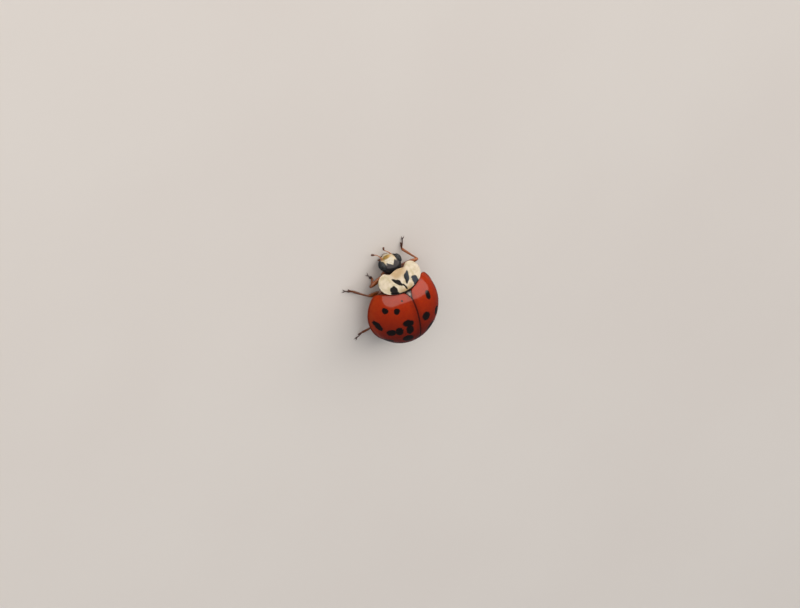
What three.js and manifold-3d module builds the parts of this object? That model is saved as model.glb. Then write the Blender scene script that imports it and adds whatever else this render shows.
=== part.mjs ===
// A harlequin ladybird, Harmonia axyridis, life size, standing on a floor at z = 0 with its head lowered.
// Millimetres, +Z up. The animal faces -Y, so its left side is +X. Body places are given from the
// middle of the rim plane, the level on which the lower edges of both wing cases lie.
import * as THREE from "three";
import { mergeVertices } from "three/addons/utils/BufferGeometryUtils.js";
import Module from "manifold-3d";

const wasm = await Module();
wasm.setup();

const rad = THREE.MathUtils.degToRad;
const vec = (x, y, z) => new THREE.Vector3(x, y, z);

// ---- Driving dimensions ----

const GAP = 0.15; // clearance between pieces that touch
const RIM_HEIGHT = 1.25; // rim plane above the floor
const FAR = 9; // beyond the animal on every side
const SAME_POINT = 1e-4; // points nearer than this are one point
const LIMB_SIDES = 8;
const LIMB_END = 0.6; // length and radius of a limb's rounded end, in radii

const DOME = { halfWidth: 2.88, rear: 3.07, front: 2.84, height: 2.44, power: 2.3 };
const WING_CASE = { wall: 0.5, lip: 0.06, lipThickness: 0.12, frontY: -2.2 };
// The turned-up edge of a wing case, as [inwards in lips, height in lip thicknesses].
const LIP_LINE = [[0.8, 1], [0.1, 0.8], [0, 0.4], [0.3, 0]];
// A wing case's shoulder in plan, from its base round to its side edge.
const SHOULDER = [
  [1.2, -2.2], [1.45, -2.17], [1.7, -2.09], [1.92, -1.96], [2.12, -1.79], [2.28, -1.6], [2.5, -1.46],
];

const BELLY = { depth: 0.72, power: 2.4, waistY: 0.45 };
const BANDS = { count: 5, spread: 0.96, bow: 0.25, sideBow: 0.35, grooveWidth: 0.09, grooveDepth: 0.09 };
const SCUTELLUM_ROOM = 1.5; // depth of the room under the scutellum, below the dome's top
const SCUTELLUM = { width: 0.54, length: 0.46, thickness: 0.5, flank: 0.7, flankLength: 0.45 };
const PRONOTUM = { slopeDeg: 40, sideDroop: 0.12, crown: 0.07, thickness: 0.5, edge: 0.3, middle: 0.85 };
const PROTHORAX = { halfWidth: 1.12, front: -3.3, rear: -2.3, bottom: -0.62 };
const HEAD = { halfWidth: 0.74, length: 1.6, depth: 1.04, tiltDeg: 55, y: -3.62, z: -0.3 };
const EYE = { x: 0.66, y: -3.74, z: -0.26, halfWidth: 0.26, halfLength: 0.36, halfDepth: 0.33 };

// ---- Solids from three.js geometry ----

// A closed geometry as a manifold-3d solid, with its faces turned out.
function solidOf(geometry) {
  const bare = new THREE.BufferGeometry().setAttribute("position", geometry.getAttribute("position").clone());
  if (geometry.index) bare.setIndex(geometry.index.clone());
  const merged = mergeVertices(bare, SAME_POINT);
  const index = merged.index.array;
  const triVerts = [];
  for (let i = 0; i < index.length; i += 3) {
    const [a, b, c] = [index[i], index[i + 1], index[i + 2]];
    if (a !== b && b !== c && c !== a) triVerts.push(a, b, c);
  }
  const vertProperties = new Float32Array(merged.attributes.position.array);
  const make = (triangles) =>
    new wasm.Manifold(new wasm.Mesh({ numProp: 3, vertProperties, triVerts: new Uint32Array(triangles) }));
  const solid = make(triVerts);
  if (solid.volume() > 0) return solid;
  const turned = [];
  for (let i = 0; i < triVerts.length; i += 3) turned.push(triVerts[i + 1], triVerts[i], triVerts[i + 2]);
  return make(turned);
}

// The largest closed surface of a solid, as a geometry.
function geometryOf(solid) {
  const parts = solid.decompose().sort((a, b) => b.volume() - a.volume());
  const mesh = parts[0].getMesh();
  return new THREE.BufferGeometry()
    .setAttribute("position", new THREE.BufferAttribute(new Float32Array(mesh.vertProperties), 3))
    .setIndex(new THREE.BufferAttribute(new Uint32Array(mesh.triVerts), 1));
}

const join = (...solids) => solids.reduce((all, next) => all.add(next));
const cut = (solid, ...tools) => tools.reduce((left, tool) => left.subtract(tool), solid);

function box(low, high) {
  const size = high.clone().sub(low);
  const middle = low.clone().add(high).multiplyScalar(0.5);
  return solidOf(new THREE.BoxGeometry(size.x, size.y, size.z).translate(middle.x, middle.y, middle.z));
}

// An ellipsoid with half axes (x, y, z), tipped nose down about X by tiltDeg, at a place.
function ellipsoid(place, halfAxes, tiltDeg = 0, segments = 24) {
  const sphere = new THREE.SphereGeometry(1, segments, Math.round(segments * 0.6));
  sphere.rotateX(Math.PI / 2).scale(halfAxes.x, halfAxes.y, halfAxes.z).rotateX(rad(tiltDeg));
  return solidOf(sphere.translate(place.x, place.y, place.z));
}

// A body lofted through closed rings of points, with a fan to the middle of the first and the last ring.
function loft(rings) {
  const sides = rings[0].length;
  const points = rings.flat();
  const index = [];
  for (let r = 0; r + 1 < rings.length; r++) {
    for (let s = 0; s < sides; s++) {
      const next = (s + 1) % sides;
      const [a, b] = [r * sides + s, r * sides + next];
      index.push(a, b, a + sides, b, b + sides, a + sides);
    }
  }
  for (const [ring, first, turn] of [[rings[0], 0, 1], [rings.at(-1), (rings.length - 1) * sides, 0]]) {
    const middle = ring.reduce((sum, p) => sum.add(p), vec(0, 0, 0)).divideScalar(sides);
    const centre = points.push(middle) - 1;
    for (let s = 0; s < sides; s++) {
      const pair = [first + s, first + ((s + 1) % sides)];
      index.push(centre, pair[turn], pair[1 - turn]);
    }
  }
  return solidOf(new THREE.BufferGeometry().setFromPoints(points).setIndex(index));
}

// A limb piece along a smooth line: stations are [place, radius], and flat squeezes it in height.
function limb(stations, { sides = LIMB_SIDES, steps = 2, flat = 1, grow = 0 } = {}) {
  const path = new THREE.CatmullRomCurve3(stations.map(([place]) => place), false, "centripetal");
  const radii = new THREE.SplineCurve(stations.map(([, radius], i) => new THREE.Vector2(i, radius + grow)));
  const rings = [];
  const ringAt = (place, forward, radius) => {
    const side = vec(0, 0, 1).cross(forward);
    if (side.lengthSq() < 1e-6) side.set(1, 0, 0);
    side.normalize();
    const up = forward.clone().cross(side);
    rings.push(Array.from({ length: sides }, (_, s) => {
      const angle = (s / sides) * 2 * Math.PI;
      return place.clone()
        .addScaledVector(side, Math.cos(angle) * radius)
        .addScaledVector(up, Math.sin(angle) * radius * flat);
    }));
  };
  const count = steps * (stations.length - 1);
  for (let i = 0; i <= count; i++) {
    const t = i / count;
    const forward = path.getTangent(t);
    const radius = radii.getPoint(t).y;
    const place = path.getPoint(t);
    const end = radius * LIMB_END;
    if (i === 0) ringAt(place.clone().addScaledVector(forward, -end), forward, end);
    ringAt(place, forward, radius);
    if (i === count) ringAt(place.clone().addScaledVector(forward, end), forward, end);
  }
  return loft(rings);
}

// ---- Wing-case dome ----

// Height of the dome over the rim plane, drawn in by inset on every side.
function domeHeight(x, y, inset = 0) {
  const long = (y > 0 ? DOME.rear : DOME.front) - inset;
  const reach = Math.hypot(x / (DOME.halfWidth - inset), y / long);
  return (DOME.height - inset) * Math.sqrt(Math.max(0, 1 - reach ** DOME.power));
}

// A solid turned from a profile of [reach, z], then stretched to the oval plan of the dome.
function ovalTurned(profile, inset = 0, segments = 48) {
  const turned = new THREE.LatheGeometry(profile.map(([reach, z]) => new THREE.Vector2(reach, z)), segments);
  turned.rotateX(Math.PI / 2);
  const at = turned.getAttribute("position");
  for (let i = 0; i < at.count; i++) {
    const long = (at.getY(i) > 0 ? DOME.rear : DOME.front) - inset;
    at.setXY(i, at.getX(i) * (DOME.halfWidth - inset), at.getY(i) * long);
  }
  return solidOf(turned);
}

// The [reach, z] line of the dome from its top down to a share of its full reach.
function domeLine(inset, reachLimit, steps) {
  return Array.from({ length: steps + 1 }, (_, i) => {
    const reach = reachLimit * Math.sin((i / steps) * (Math.PI / 2)) ** (2 / DOME.power);
    const share = Math.min(1, reach / reachLimit);
    return [reach, (DOME.height - inset) * Math.sqrt(Math.max(0, 1 - share ** DOME.power))];
  });
}

function outerDome() {
  const { lip, lipThickness } = WING_CASE;
  const lipReach = lip / DOME.halfWidth;
  const line = domeLine(0, 1 - lipReach, 13).filter(([, z]) => z > lipThickness * 1.3);
  const edge = LIP_LINE.map(([inwards, up]) => [1 - lipReach * inwards, lipThickness * up]);
  return ovalTurned([...line, ...edge, [0, 0]]);
}

function innerDome(inset) {
  const mouth = 0.999;
  const well = [[mouth, -0.01], [mouth, -RIM_HEIGHT], [0, -RIM_HEIGHT]];
  return ovalTurned([...domeLine(inset, 1, 8), ...well], inset);
}

// All that lies in front of the wing cases' base, as an upright prism, with the shoulders drawn in.
function frontCutter(drawnIn = 0) {
  const left = SHOULDER.map(([x, y]) => new THREE.Vector2(x - drawnIn, y));
  const right = left.map((p) => new THREE.Vector2(-p.x, p.y));
  const edge = left.at(-1).y;
  const plan = new THREE.Shape();
  plan.moveTo(-FAR, -FAR);
  plan.lineTo(FAR, -FAR);
  plan.lineTo(FAR, edge);
  plan.lineTo(left.at(-1).x, edge);
  plan.splineThru(left.slice(0, -1).reverse());
  plan.lineTo(right[0].x, right[0].y);
  plan.splineThru(right.slice(1));
  plan.lineTo(-FAR, edge);
  plan.closePath();
  const prism = new THREE.ExtrudeGeometry(plan, { depth: 2 * FAR, bevelEnabled: false, curveSegments: 2 });
  return solidOf(prism.translate(0, 0, -FAR));
}

// The three-cornered plate between the bases of the wing cases, as an upright prism grown by grow.
function scutellumPrism(grow) {
  const plan = new THREE.Shape();
  const y = WING_CASE.frontY;
  const half = SCUTELLUM.width / 2 + grow;
  const flank = half * SCUTELLUM.flank;
  const flankY = y + SCUTELLUM.length * SCUTELLUM.flankLength;
  plan.moveTo(-half, y - 1);
  plan.lineTo(half, y - 1);
  plan.lineTo(half, y);
  plan.quadraticCurveTo(flank, flankY, 0, y + SCUTELLUM.length + grow * 2);
  plan.quadraticCurveTo(-flank, flankY, -half, y);
  plan.closePath();
  return solidOf(new THREE.ExtrudeGeometry(plan, { depth: FAR, bevelEnabled: false, curveSegments: 5 }));
}

function wingCase(side) {
  const half = side > 0
    ? box(vec(GAP / 2, -FAR, -FAR), vec(FAR, FAR, FAR))
    : box(vec(-FAR, -FAR, -FAR), vec(-GAP / 2, FAR, FAR));
  const shell = cut(outerDome(), innerDome(WING_CASE.wall));
  return cut(shell, frontCutter(), scutellumPrism(GAP)).intersect(half);
}

function scutellum() {
  const front = box(vec(-FAR, -FAR, -FAR), vec(FAR, WING_CASE.frontY + 0.02, FAR));
  const top = cut(outerDome(), innerDome(SCUTELLUM.thickness));
  return cut(top.intersect(scutellumPrism(0)), front);
}

// ---- Pronotum ----

const slope = Math.tan(rad(PRONOTUM.slopeDeg));
const slopeCos = Math.cos(rad(PRONOTUM.slopeDeg));
const PRONOTUM_REAR_Y = WING_CASE.frontY - 0.05;
const PRONOTUM_REAR_Z = domeHeight(0, PRONOTUM_REAR_Y);

// Height of the shield's upper face at a place in plan.
function shieldHeight(x, y) {
  const along = (PRONOTUM_REAR_Y - y) / slopeCos;
  const crown = PRONOTUM.crown * (1 - ((along - PRONOTUM.middle) / 0.9) ** 2);
  return PRONOTUM_REAR_Z - (PRONOTUM_REAR_Y - y) * slope - PRONOTUM.sideDroop * x * x + crown;
}

// Half of the shield's outline, as [x, distance forward from its hind edge down the slope].
const SHIELD_HALF = [
  [0, -0.04], [0.52, -0.02], [1.02, 0.09], [1.39, 0.26], [1.62, 0.47], [1.72, 0.74], [1.72, 1.0],
  [1.63, 1.27], [1.44, 1.52], [1.2, 1.68], [1.0, 1.72], [0.84, 1.65], [0.7, 1.54], [0.5, 1.56],
  [0.25, 1.62], [0, 1.65],
];
// The shield's rounded edge and hollow underside, as [share of the outline, depth below its upper face].
const SHIELD_EDGE = { brim: [0.96, 0.03], outermost: [1, 0.12], tucked: [0.985, 0.21], under: [0.93, 0.3] };

function shieldOutline(grow) {
  const half = SHIELD_HALF.map(([x, along]) => new THREE.Vector2(x, PRONOTUM_REAR_Y - along * slopeCos));
  const other = half.slice(1, -1).reverse().map((p) => new THREE.Vector2(-p.x, p.y));
  const line = new THREE.SplineCurve([...half, ...other, half[0]]).getPoints(44).slice(0, -1);
  const middle = new THREE.Vector2(0, PRONOTUM_REAR_Y - PRONOTUM.middle * slopeCos);
  return { middle, line: line.map((p) => p.clone().add(p.clone().sub(middle).setLength(grow))) };
}

// The neck shield: a thin cushion on its outline, crowned above and hollow below.
function pronotum(grow = 0) {
  const { middle, line } = shieldOutline(grow);
  const rings = [];
  const ring = (share, drop) => rings.push(line.map((p) => {
    const at = p.clone().lerp(middle, 1 - share);
    return vec(at.x, at.y, shieldHeight(at.x, at.y) - drop);
  }));
  for (const share of [0.3, 0.6, 0.85]) ring(share, -grow);
  ring(SHIELD_EDGE.brim[0], SHIELD_EDGE.brim[1] - grow);
  ring(...SHIELD_EDGE.outermost);
  ring(...SHIELD_EDGE.tucked);
  ring(SHIELD_EDGE.under[0], SHIELD_EDGE.under[1] + grow);
  for (const share of [0.7, 0.35]) {
    ring(share, PRONOTUM.thickness + grow - (PRONOTUM.thickness - PRONOTUM.edge) * share ** 2);
  }
  return loft(rings);
}

// ---- Head ----

const headForward = vec(0, -Math.cos(rad(HEAD.tiltDeg)), -Math.sin(rad(HEAD.tiltDeg)));
const headOut = vec(0, -Math.sin(rad(HEAD.tiltDeg)), Math.cos(rad(HEAD.tiltDeg)));

// A place on the head, from its middle: sideways, down the face, and out of the face.
function onHead(side, down, out) {
  return vec(side, HEAD.y, HEAD.z).addScaledVector(headForward, down).addScaledVector(headOut, out);
}

// Swellings that make up the head, as [sideways, down, out] of the middle, half axes and segments.
const HEAD_SWELLS = [
  { at: [0, 0, 0], half: [HEAD.halfWidth, HEAD.length / 2, HEAD.depth / 2], segments: 22 },
  { at: [0, 0.04, -0.08], half: [0.86, 0.52, 0.4], segments: 18 },
  { at: [0, 0.54, 0.02], half: [0.47, 0.3, 0.28], segments: 16 },
];
const UPPER_LIP = { at: [0, 0.78, -0.02], half: [0.33, 0.12, 0.13], segments: 12 };
// Stations of the left jaw and of the left feeler of the mouth, as [sideways, down, out, radius].
const JAW = [[0.3, 0.62, -0.14, 0.14], [0.24, 0.76, -0.15, 0.11], [0.1, 0.87, -0.13, 0.06]];
const PALP = [[0.34, 0.36, -0.24, 0.12], [0.47, 0.53, -0.27, 0.12], [0.46, 0.72, -0.24, 0.14]];

function swelling({ at, half, segments }, grow = 0) {
  return ellipsoid(onHead(...at), vec(...half).addScalar(grow), HEAD.tiltDeg, segments);
}

const headCapsule = (grow = 0) => join(...HEAD_SWELLS.map((swell) => swelling(swell, grow)));

// Lip, jaws and the thick-ended feelers of the mouth.
function mouth() {
  const pair = (stations, options) => [1, -1].map((side) => limb(
    stations.map(([sideways, down, out, radius]) => [onHead(sideways * side, down, out), radius]),
    options,
  ));
  return join(swelling(UPPER_LIP), ...pair(JAW, { sides: 6 }), ...pair(PALP, { sides: 7, flat: 0.75 }));
}

const eyeSolid = (side, grow = 0) => ellipsoid(
  vec(EYE.x * side, EYE.y, EYE.z),
  vec(EYE.halfWidth + grow, EYE.halfLength + grow, EYE.halfDepth + grow),
  HEAD.tiltDeg,
  16,
);

// Feelers: places from root to tip on each side, with the club in the last three.
const FEELERS = {
  left: [
    vec(0.42, -3.98, -0.55), vec(0.45, -4.24, -0.74), vec(0.62, -4.47, -0.88), vec(0.86, -4.63, -0.9),
    vec(1.04, -4.74, -0.9),
  ],
  right: [
    vec(-0.42, -3.98, -0.55), vec(-0.3, -4.24, -0.74), vec(-0.08, -4.44, -0.87), vec(0.02, -4.6, -0.9),
    vec(-0.03, -4.8, -0.9),
  ],
};
const FEELER_RADII = [0.2, 0.2, 0.21, 0.24, 0.17];

const feeler = (side, grow = 0) => limb(FEELERS[side].map((place, i) => [place, FEELER_RADII[i]]), { grow });

// ---- Legs ----

const HIP_RADIUS = 0.34;
const THIGH_RADIUS = 0.29;
const SHIN_RADIUS = 0.25;
const FOOT_RADIUS = 0.22;
const PAD_FLATNESS = 0.85; // height of a foot's pads in widths
const CLAW = { length: 0.34, radius: 0.07, spread: 0.16 };
// Stations of a claw, as [ahead in lengths, out in spreads, up, share of its radius].
const CLAW_LINE = [[-0.3, 0.2, 0, 1.4], [0.5, 0.8, 0.03, 1], [1, 1, -0.06, 0.5]];

// Hip, knee, ankle, toe joint and foot end of each leg. Feet lie on the floor.
const LEGS = {
  front_left: [
    vec(0.52, -2.84, -0.5), vec(1.9, -2.45, -0.42), vec(1.32, -2.56, -0.98),
    vec(1.46, -2.76, -1.09), vec(1.58, -2.98, -1.13),
  ],
  front_right: [
    vec(-0.52, -2.84, -0.5), vec(-2.22, -2.76, -0.26), vec(-1.46, -3.75, -0.95),
    vec(-1.64, -4.18, -1.09), vec(-1.76, -4.42, -1.13),
  ],
  middle_left: [
    vec(0.85, -1.35, -0.5), vec(2.2, -1.85, -0.36), vec(3.05, -2.42, -0.97),
    vec(3.4, -2.62, -1.09), vec(3.64, -2.74, -1.13),
  ],
  middle_right: [
    vec(-0.85, -1.35, -0.5), vec(-2.15, -0.95, -0.36), vec(-2.62, -0.2, -0.97),
    vec(-2.86, -0.04, -1.09), vec(-3.04, 0.1, -1.13),
  ],
  hind_left: [
    vec(0.72, 0.1, -0.55), vec(2.1, 1.0, -0.4), vec(3.02, 1.56, -0.96),
    vec(3.28, 1.74, -1.09), vec(3.48, 1.86, -1.13),
  ],
  hind_right: [
    vec(-0.72, 0.1, -0.55), vec(-1.9, 1.0, -0.45), vec(-2.3, 1.75, -0.96),
    vec(-2.46, 1.98, -1.09), vec(-2.58, 2.18, -1.13),
  ],
};

const belowFloor = box(vec(-FAR, -FAR, -FAR), vec(FAR, FAR, -RIM_HEIGHT));

// Two hooked claws at the end of a foot.
function claws(toe, end) {
  const forward = end.clone().sub(toe).setZ(0).normalize();
  const side = vec(0, 0, 1).cross(forward);
  return [1, -1].map((hand) => limb(CLAW_LINE.map(([ahead, out, up, share]) => {
    const place = end.clone().addScaledVector(forward, ahead * CLAW.length);
    place.addScaledVector(side, out * CLAW.spread * hand);
    return [place.add(vec(0, 0, up)), CLAW.radius * share];
  }), { sides: 5, steps: 1 }));
}

function leg([hip, knee, ankle, toe, end], grow = 0) {
  const thighMiddle = hip.clone().lerp(knee, 0.55);
  const shinMiddle = knee.clone().lerp(ankle, 0.5);
  const padMiddle = ankle.clone().lerp(toe, 0.6);
  const hipBall = ellipsoid(hip, vec(1, 1, 1).multiplyScalar(HIP_RADIUS + grow), 0, 12);
  const thigh = limb([[hip, THIGH_RADIUS * 0.9], [thighMiddle, THIGH_RADIUS], [knee, SHIN_RADIUS]], { grow });
  const shin = limb(
    [[knee, SHIN_RADIUS], [shinMiddle, SHIN_RADIUS * 0.98], [ankle, SHIN_RADIUS * 0.96]],
    { grow },
  );
  const pads = limb(
    [[ankle, SHIN_RADIUS * 0.92], [padMiddle, FOOT_RADIUS * 1.15], [toe, FOOT_RADIUS]],
    { flat: PAD_FLATNESS, grow },
  );
  const clawBone = limb([[toe, FOOT_RADIUS * 0.9], [end, FOOT_RADIUS * 0.62]], { steps: 1, grow });
  const whole = join(hipBall, thigh, shin, pads, clawBone);
  return grow ? whole : cut(join(whole, ...claws(toe, end)), belowFloor);
}

// ---- Trunk: the body under the wing cases ----

// The belly's outer face closes the rim plane from below, inside the folded edges of the wing cases.
function trunkSolid(belly, inset) {
  const steps = 6;
  const under = Array.from({ length: steps }, (_, i) => {
    const reach = 1 - (i + 1) / steps;
    return [reach, -belly * (1 - reach ** BELLY.power)];
  });
  return ovalTurned([...domeLine(inset, 1, 7), ...under], inset);
}

// Walls under the belly that stand where the grooves between its bands go.
function bellyWalls() {
  const first = BELLY.waistY + GAP / 2;
  const spacing = ((DOME.rear - WING_CASE.wall - first) / BANDS.count) * BANDS.spread;
  const side = DOME.rear;
  const walls = Array.from({ length: BANDS.count - 1 }, (_, i) => {
    const y = first + spacing * (i + 1);
    const band = new THREE.Shape();
    band.moveTo(-side, y - BANDS.sideBow);
    band.quadraticCurveTo(0, y + BANDS.bow, side, y - BANDS.sideBow);
    band.lineTo(side, y - BANDS.sideBow + BANDS.grooveWidth);
    band.quadraticCurveTo(0, y + BANDS.bow + BANDS.grooveWidth, -side, y - BANDS.sideBow + BANDS.grooveWidth);
    band.closePath();
    const wall = new THREE.ExtrudeGeometry(band, { depth: 1.2, bevelEnabled: false, curveSegments: 5 });
    return solidOf(wall.translate(0, 0, -1.1));
  });
  return join(...walls);
}

const trunkInset = WING_CASE.wall + GAP;
const between = (from, to) => box(vec(-FAR, from, -FAR), vec(FAR, to, FAR));
const roomFor = (names) => names.map((name) => leg(LEGS[name], GAP));

function thorax() {
  const deepest = DOME.height - SCUTELLUM_ROOM;
  const scutellumRoom = cut(scutellumPrism(GAP), box(vec(-FAR, -FAR, -FAR), vec(FAR, FAR, deepest)))
    .intersect(cut(outerDome(), innerDome(SCUTELLUM.thickness + GAP)));
  return cut(
    trunkSolid(BELLY.depth, trunkInset).intersect(between(-FAR, BELLY.waistY - GAP / 2)),
    frontCutter(0.2),
    scutellumRoom,
    ...roomFor(["middle_left", "middle_right", "hind_left", "hind_right"]),
  );
}

function abdomen() {
  const skin = trunkSolid(BELLY.depth - BANDS.grooveDepth, trunkInset + 0.02);
  return cut(
    trunkSolid(BELLY.depth, trunkInset).intersect(between(BELLY.waistY + GAP / 2, FAR)),
    cut(bellyWalls(), skin),
    ...roomFor(["hind_left", "hind_right"]),
  );
}

// The rounded underside of the prothorax, as [share of its outline, height over its lowest face].
const PROTHORAX_KEEL = [[1, 0.42], [0.9, 0.14], [0.6, 0.02], [0.1, 0]];

// The block under the neck shield that carries the head and the front legs.
function prothorax() {
  const { halfWidth, front, rear, bottom } = PROTHORAX;
  const plan = new THREE.Shape();
  plan.moveTo(-halfWidth, rear);
  plan.lineTo(halfWidth, rear);
  plan.bezierCurveTo(halfWidth * 1.05, front + 0.3, halfWidth * 0.8, front, 0, front);
  plan.bezierCurveTo(-halfWidth * 0.8, front, -halfWidth * 1.05, front + 0.3, -halfWidth, rear);
  const outline = plan.getPoints(7).slice(0, -1);
  const middle = new THREE.Vector2(0, (front + rear) / 2);
  const ring = (share, height) => outline.map((p) => {
    const at = p.clone().lerp(middle, 1 - share);
    return vec(at.x, at.y, height(at.x, at.y));
  });
  const top = (x, y) => shieldHeight(x, y) - PRONOTUM.edge;
  const upper = [ring(0.1, top), ring(0.6, top), ring(1, (x, y) => top(x, y) - 0.1)];
  const lower = PROTHORAX_KEEL.map(([share, up]) => ring(share, () => bottom + up));
  const block = loft([...upper, ...lower]);
  return cut(block, pronotum(GAP), headCapsule(GAP), ...roomFor(["front_left", "front_right"]));
}

// ---- The animal ----

const shellRed = new THREE.MeshStandardMaterial({ color: 0xa82a08, roughness: 0.2, metalness: 0 });
const shieldWhite = new THREE.MeshStandardMaterial({ color: 0xe6dcc0, roughness: 0.3, metalness: 0 });
const hornBlack = new THREE.MeshStandardMaterial({ color: 0x14130f, roughness: 0.28, metalness: 0 });
const eyeBlack = new THREE.MeshStandardMaterial({ color: 0x0b0a0c, roughness: 0.35, metalness: 0 });
const limbBrown = new THREE.MeshStandardMaterial({ color: 0x7a3a18, roughness: 0.45, metalness: 0 });
const bellyBrown = new THREE.MeshStandardMaterial({ color: 0x5a2410, roughness: 0.5, metalness: 0 });

const ladybird = new THREE.Group();
const body = new THREE.Group(); // origin at the middle of the rim plane
ladybird.add(body);

function addPiece(name, solid, material) {
  const mesh = new THREE.Mesh(geometryOf(solid), material);
  mesh.name = name;
  body.add(mesh);
}

addPiece("elytron_left", wingCase(1), shellRed);
addPiece("elytron_right", wingCase(-1), shellRed);
addPiece("scutellum", scutellum(), hornBlack);
addPiece("pronotum", pronotum(), shieldWhite);
addPiece("prothorax", prothorax(), hornBlack);
addPiece("thorax", thorax(), hornBlack);
addPiece("abdomen", abdomen(), bellyBrown);

const eyeRoom = [1, -1].map((side) => eyeSolid(side, GAP));
const feelerRoom = ["left", "right"].map((side) => feeler(side, GAP));
addPiece("head", cut(join(headCapsule(), mouth()), pronotum(GAP), ...eyeRoom, ...feelerRoom), hornBlack);
for (const [side, hand] of [["left", 1], ["right", -1]]) {
  addPiece(`eye_${side}`, cut(eyeSolid(hand), pronotum(GAP), feeler(side, GAP)), eyeBlack);
  addPiece(`antenna_${side}`, feeler(side), limbBrown);
}
for (const [name, joints] of Object.entries(LEGS)) addPiece(`leg_${name}`, leg(joints), limbBrown);

// The frame's origin is on the floor, under the middle of the animal's box.
const reach = new THREE.Box3().setFromObject(ladybird, true);
body.position.set(-(reach.min.x + reach.max.x) / 2, -(reach.min.y + reach.max.y) / 2, -reach.min.z);

export default ladybird;
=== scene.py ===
# A harlequin ladybird, Harmonia axyridis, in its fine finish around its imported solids.
# Pieces are modelled in millimetres, with the animal's own middle as the zero: x to its left, y to its tail
# and z up from the rim of its wing cases. settle() then brings each one to its place in the frame, in metres.
import math
from contextlib import contextmanager

import bpy
from mathutils import Matrix, Vector


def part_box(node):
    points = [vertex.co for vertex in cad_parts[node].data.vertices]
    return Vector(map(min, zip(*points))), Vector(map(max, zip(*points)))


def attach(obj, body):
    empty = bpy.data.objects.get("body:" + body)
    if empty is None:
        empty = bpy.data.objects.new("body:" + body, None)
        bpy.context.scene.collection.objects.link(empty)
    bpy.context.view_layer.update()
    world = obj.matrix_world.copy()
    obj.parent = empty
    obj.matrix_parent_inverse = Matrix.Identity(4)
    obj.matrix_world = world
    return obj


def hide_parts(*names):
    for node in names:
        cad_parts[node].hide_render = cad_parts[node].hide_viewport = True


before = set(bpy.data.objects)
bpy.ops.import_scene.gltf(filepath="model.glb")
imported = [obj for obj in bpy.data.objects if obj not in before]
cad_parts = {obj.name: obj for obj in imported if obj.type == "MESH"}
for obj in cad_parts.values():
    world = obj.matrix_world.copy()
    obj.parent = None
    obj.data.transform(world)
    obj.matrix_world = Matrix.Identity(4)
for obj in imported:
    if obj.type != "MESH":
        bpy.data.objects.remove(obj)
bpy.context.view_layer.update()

# ---- The animal's middle and sizes, read from the solids ----

MM = 0.001
UP = Vector((0, 0, 1))
EYE_Y = -3.74  # where the middle of the eyes lies along the animal
left_case, right_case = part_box("elytron_left"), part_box("elytron_right")
left_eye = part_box("eye_left")
MIDDLE = Vector((
    (left_case[1].x + right_case[0].x) / 2,
    (left_eye[0].y + left_eye[1].y) / 2 - EYE_Y * MM,
    left_case[0].z,
))
FLOOR = -MIDDLE.z / MM  # the floor's height below the rim, in millimetres
HALF_WIDTH = (left_case[1].x - right_case[0].x) / 2 / MM
DOME_HEIGHT = (left_case[1].z - MIDDLE.z) / MM
DOME_REAR = (left_case[1].y - MIDDLE.y) / MM
DOME_FRONT = 2.84  # where the dome would end in front if the neck shield didn't cut it short
DOME_POWER = 2.3


# ---- Modelling helpers ----


def only(*pieces):
    """Selects these pieces and nothing else."""
    bpy.ops.object.select_all(action="DESELECT")
    for piece in pieces:
        piece.select_set(True)
    bpy.context.view_layer.objects.active = pieces[0]


@contextmanager
def editing(piece):
    """Edit mode on a piece, with all of it selected."""
    only(piece)
    bpy.ops.object.mode_set(mode="EDIT")
    bpy.ops.mesh.select_all(action="SELECT")
    yield
    bpy.ops.object.mode_set(mode="OBJECT")


def finish_with(piece, kind, **settings):
    """Adds a modifier of this kind to a piece and applies it."""
    only(piece)
    modifier = piece.modifiers.new(kind, kind)
    for name, value in settings.items():
        setattr(modifier, name, value)
    bpy.ops.object.modifier_apply(modifier=modifier.name)
    return piece


def formed(piece, place):
    """Moves every vertex of a piece to place(x, y, z)."""
    for vertex in piece.data.vertices:
        vertex.co = place(*vertex.co)
    return piece


SORT_FROM = (3.1, 7.7, 19.3)  # well off to one side, so that no two faces lie equally far from it


def tidy(piece, merge=1e-4):
    """Merges doubled vertices and turns all faces outwards.

    It also sorts them by place, because extrusions and spheres come with their faces in a new order each run,
    and the hairs grow by that order.
    """
    bpy.context.scene.cursor.location = SORT_FROM
    with editing(piece):
        bpy.ops.mesh.remove_doubles(threshold=merge)
        bpy.ops.mesh.normals_make_consistent(inside=False)
        bpy.ops.mesh.sort_elements(type="CURSOR_DISTANCE", elements={"VERT", "EDGE", "FACE"})
    bpy.context.scene.cursor.location = (0, 0, 0)
    return piece


def joined(name, pieces):
    """Joins pieces into one of that name."""
    only(*pieces)
    bpy.ops.object.join()
    piece = bpy.context.object
    piece.name = piece.data.name = name
    return piece


def twin(piece):
    """A copy of a piece with its own mesh."""
    copy = piece.copy()
    copy.data = piece.data.copy()
    bpy.context.scene.collection.objects.link(copy)
    return copy


def toned(piece, tone):
    """Writes how dark a piece is, from 0 to 1, for its material to read."""
    marks = piece.data.attributes.get("tone") or piece.data.attributes.new("tone", "FLOAT", "POINT")
    marks.data.foreach_set("value", [tone(v.co) if callable(tone) else tone for v in piece.data.vertices])
    return piece


def moved(piece, matrix):
    """Moves, turns or stretches a piece and writes that into its mesh."""
    piece.matrix_world = matrix
    only(piece)
    bpy.ops.object.transform_apply(location=True, rotation=True, scale=True)
    return piece


def settle(piece, name, material, slot, *nodes):
    """Brings a finished piece from millimetres to its place in the frame, with its material."""
    piece.name = piece.data.name = name
    moved(piece, Matrix.Translation(MIDDLE) @ Matrix.Scale(MM, 4))
    bpy.ops.object.shade_smooth_by_angle(angle=math.radians(50))
    piece.data.materials.clear()
    piece.data.materials.append(material)
    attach(piece, "root")
    if nodes:
        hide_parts(*nodes)
    return piece


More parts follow.
